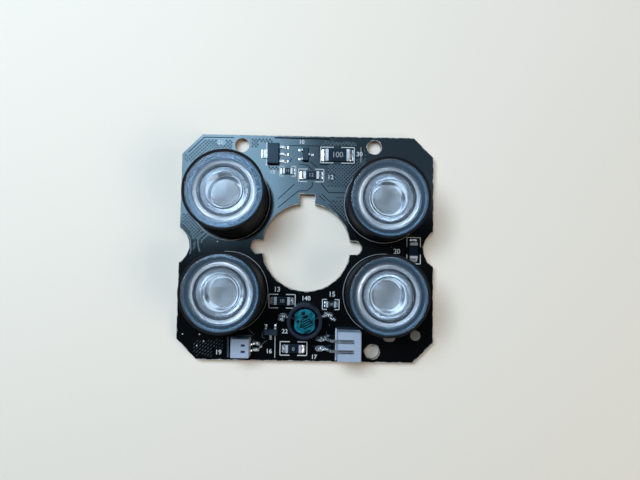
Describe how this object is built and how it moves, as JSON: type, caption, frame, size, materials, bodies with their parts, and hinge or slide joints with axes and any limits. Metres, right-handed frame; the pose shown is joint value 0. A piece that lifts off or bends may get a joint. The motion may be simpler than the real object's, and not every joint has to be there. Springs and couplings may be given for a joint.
{
  "type": "infrared illuminator",
  "caption": "Infrared illuminator board for a camera: collimator lenses in black holders round a camera opening, with a light sensor and side-entry connectors.",
  "frame": {"origin": "centre of the camera opening on the underside of the board", "axes": "+Z is the way the lamps shine, +Y points to the edge with the regulator, +X is along the board's long side"},
  "size_m": [0.053, 0.047, 0.0126],
  "materials": {
    "board": "glossy black solder mask over glass laminate",
    "holder": "black moulded, semi gloss",
    "lens": "clear moulded acrylic",
    "emitter_ceramic": "white, matt",
    "die": "dark semiconductor",
    "resin": "clear resin",
    "lead": "tinned",
    "pin": "tinned",
    "package": "black epoxy, matt",
    "chip_glaze": "dark glaze",
    "chip_cap": "tinned",
    "sleeve": "grey-black sleeving, matt",
    "sensor_ceramic": "lacquered, teal with a dark track",
    "housing": "off-white nylon",
    "solder": "bright solder",
    "tinned_pad": "dull tin"
  },
  "bodies": {
    "root": {"bias_resistor_body": "chip_glaze", "bias_resistor_caps": "chip_cap", "cell_resistor_body": "chip_glaze", "cell_resistor_caps": "chip_cap", "circuit_board": "board", "driver_transistor_body": "package", "driver_transistor_leads": "lead", "edge_resistor_body": "chip_glaze", "edge_resistor_caps": "chip_cap", "emitter_base_lower_left": "emitter_ceramic", "emitter_base_lower_right": "emitter_ceramic", "emitter_base_upper_left": "emitter_ceramic", "emitter_base_upper_right": "emitter_ceramic", "emitter_dies_lower_left": "die", "emitter_dies_lower_right": "die", "emitter_dies_upper_left": "die", "emitter_dies_upper_right": "die", "emitter_dome_lower_left": "resin", "emitter_dome_lower_right": "resin", "emitter_dome_upper_left": "resin", "emitter_dome_upper_right": "resin", "emitter_tabs_lower_left": "lead", "emitter_tabs_lower_right": "lead", "emitter_tabs_upper_left": "lead", "emitter_tabs_upper_right": "lead", "feed_resistor_body": "chip_glaze", "feed_resistor_caps": "chip_cap", "filter_housing": "housing", "filter_pins": "pin", "gate_resistor_body": "chip_glaze", "gate_resistor_caps": "chip_cap", "lens_holder_lower_left": "holder", "lens_holder_lower_right": "holder", "lens_holder_upper_left": "holder", "lens_holder_upper_right": "holder", "lens_lower_left": "lens", "lens_lower_right": "lens", "lens_upper_left": "lens", "lens_upper_right": "lens", "power_housing": "housing", "power_pins": "pin", "regulator_body": "package", "regulator_leads": "lead", "sense_resistor_body": "chip_glaze", "sense_resistor_caps": "chip_cap", "sensor_disc": "sensor_ceramic", "sensor_sleeve": "sleeve", "sensor_wires": "lead", "solder_joints": "solder", "switch_transistor_body": "package", "switch_transistor_leads": "lead", "test_pad": "tinned_pad", "trim_resistor_body": "chip_glaze", "trim_resistor_caps": "chip_cap"}
  },
  "joints": []
}
